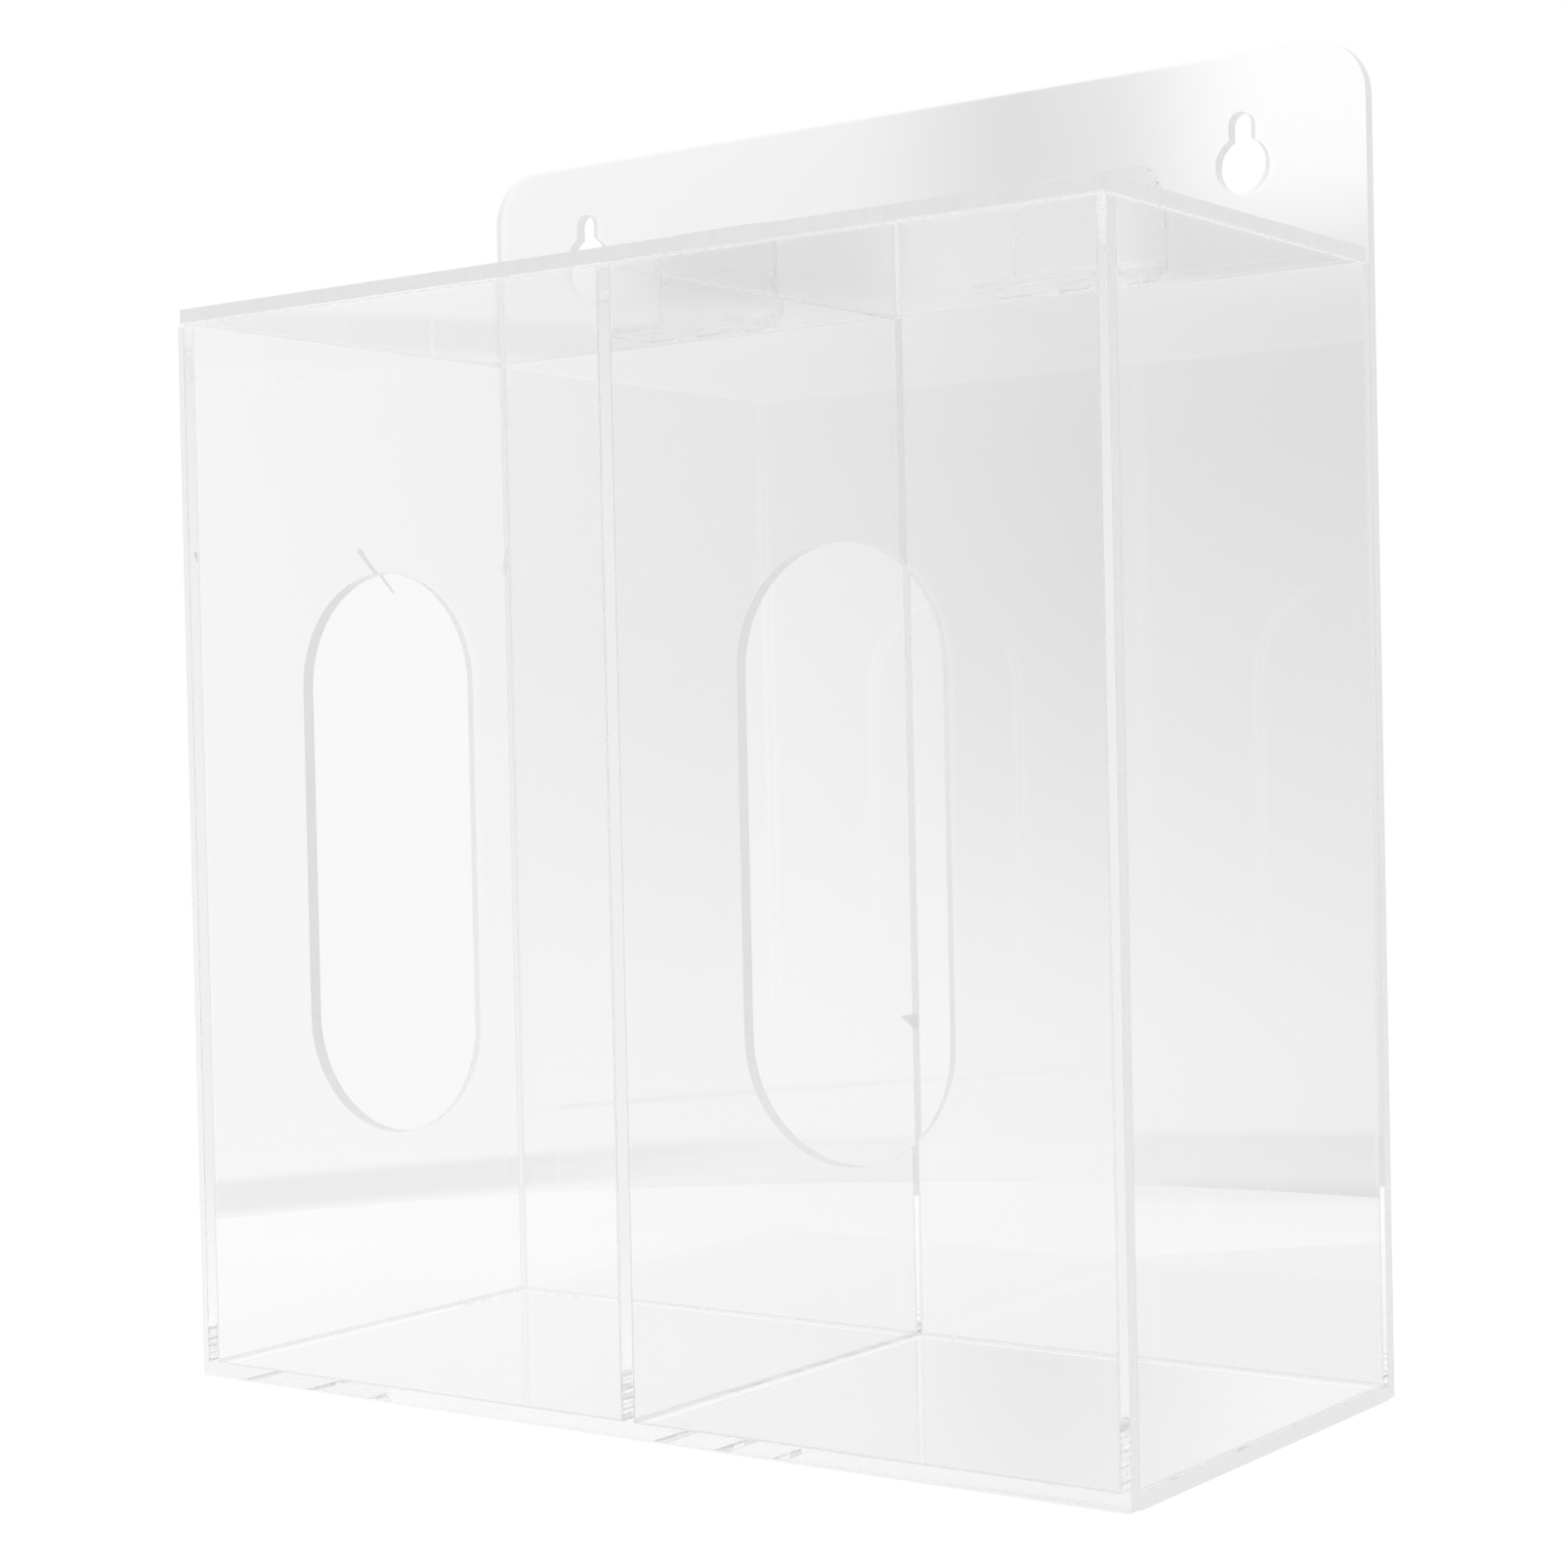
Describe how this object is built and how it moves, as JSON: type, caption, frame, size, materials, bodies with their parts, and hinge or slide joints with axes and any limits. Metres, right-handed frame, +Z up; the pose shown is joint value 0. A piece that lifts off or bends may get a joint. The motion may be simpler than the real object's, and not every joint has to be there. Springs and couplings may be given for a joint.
{
  "type": "disposable glove dispenser",
  "caption": "Clear acrylic two-bay glove dispenser with obround front slots, a divider, a lid on butt hinges and a tall back panel that hangs on keyholes.",
  "frame": {"origin": "centre of the footprint of the closed dispenser, on the surface it stands on", "axes": "+Z up, the slotted front faces -Y, the back panel faces +Y, +X is the right-hand side seen from the front"},
  "size_m": [0.254, 0.1194, 0.303],
  "materials": {
    "clear_sheet": "clear cast acrylic sheet, polished faces, sawn and flame-polished edges",
    "clear_hinge": "clear moulded acrylic hinge leaf, polished",
    "clear_pin": "clear acrylic rod, polished"
  },
  "bodies": {
    "housing": {"front_panel": "clear_sheet", "back_panel": "clear_sheet", "left_panel": "clear_sheet", "right_panel": "clear_sheet", "divider": "clear_sheet", "bottom_panel": "clear_sheet", "hinge_left_back_leaf": "clear_hinge", "hinge_left_pin": "clear_pin", "hinge_right_back_leaf": "clear_hinge", "hinge_right_pin": "clear_pin"},
    "lid": {"lid": "clear_sheet", "hinge_left_lid_leaf": "clear_hinge", "hinge_right_lid_leaf": "clear_hinge"}
  },
  "joints": [
    {"name": "lid_hinge", "type": "hinge", "parent": "housing", "child": "lid", "pos_m": [0, 0.05355, 0.2586], "axis": [-1, 0, 0], "range_deg": [0, 95]}
  ]
}
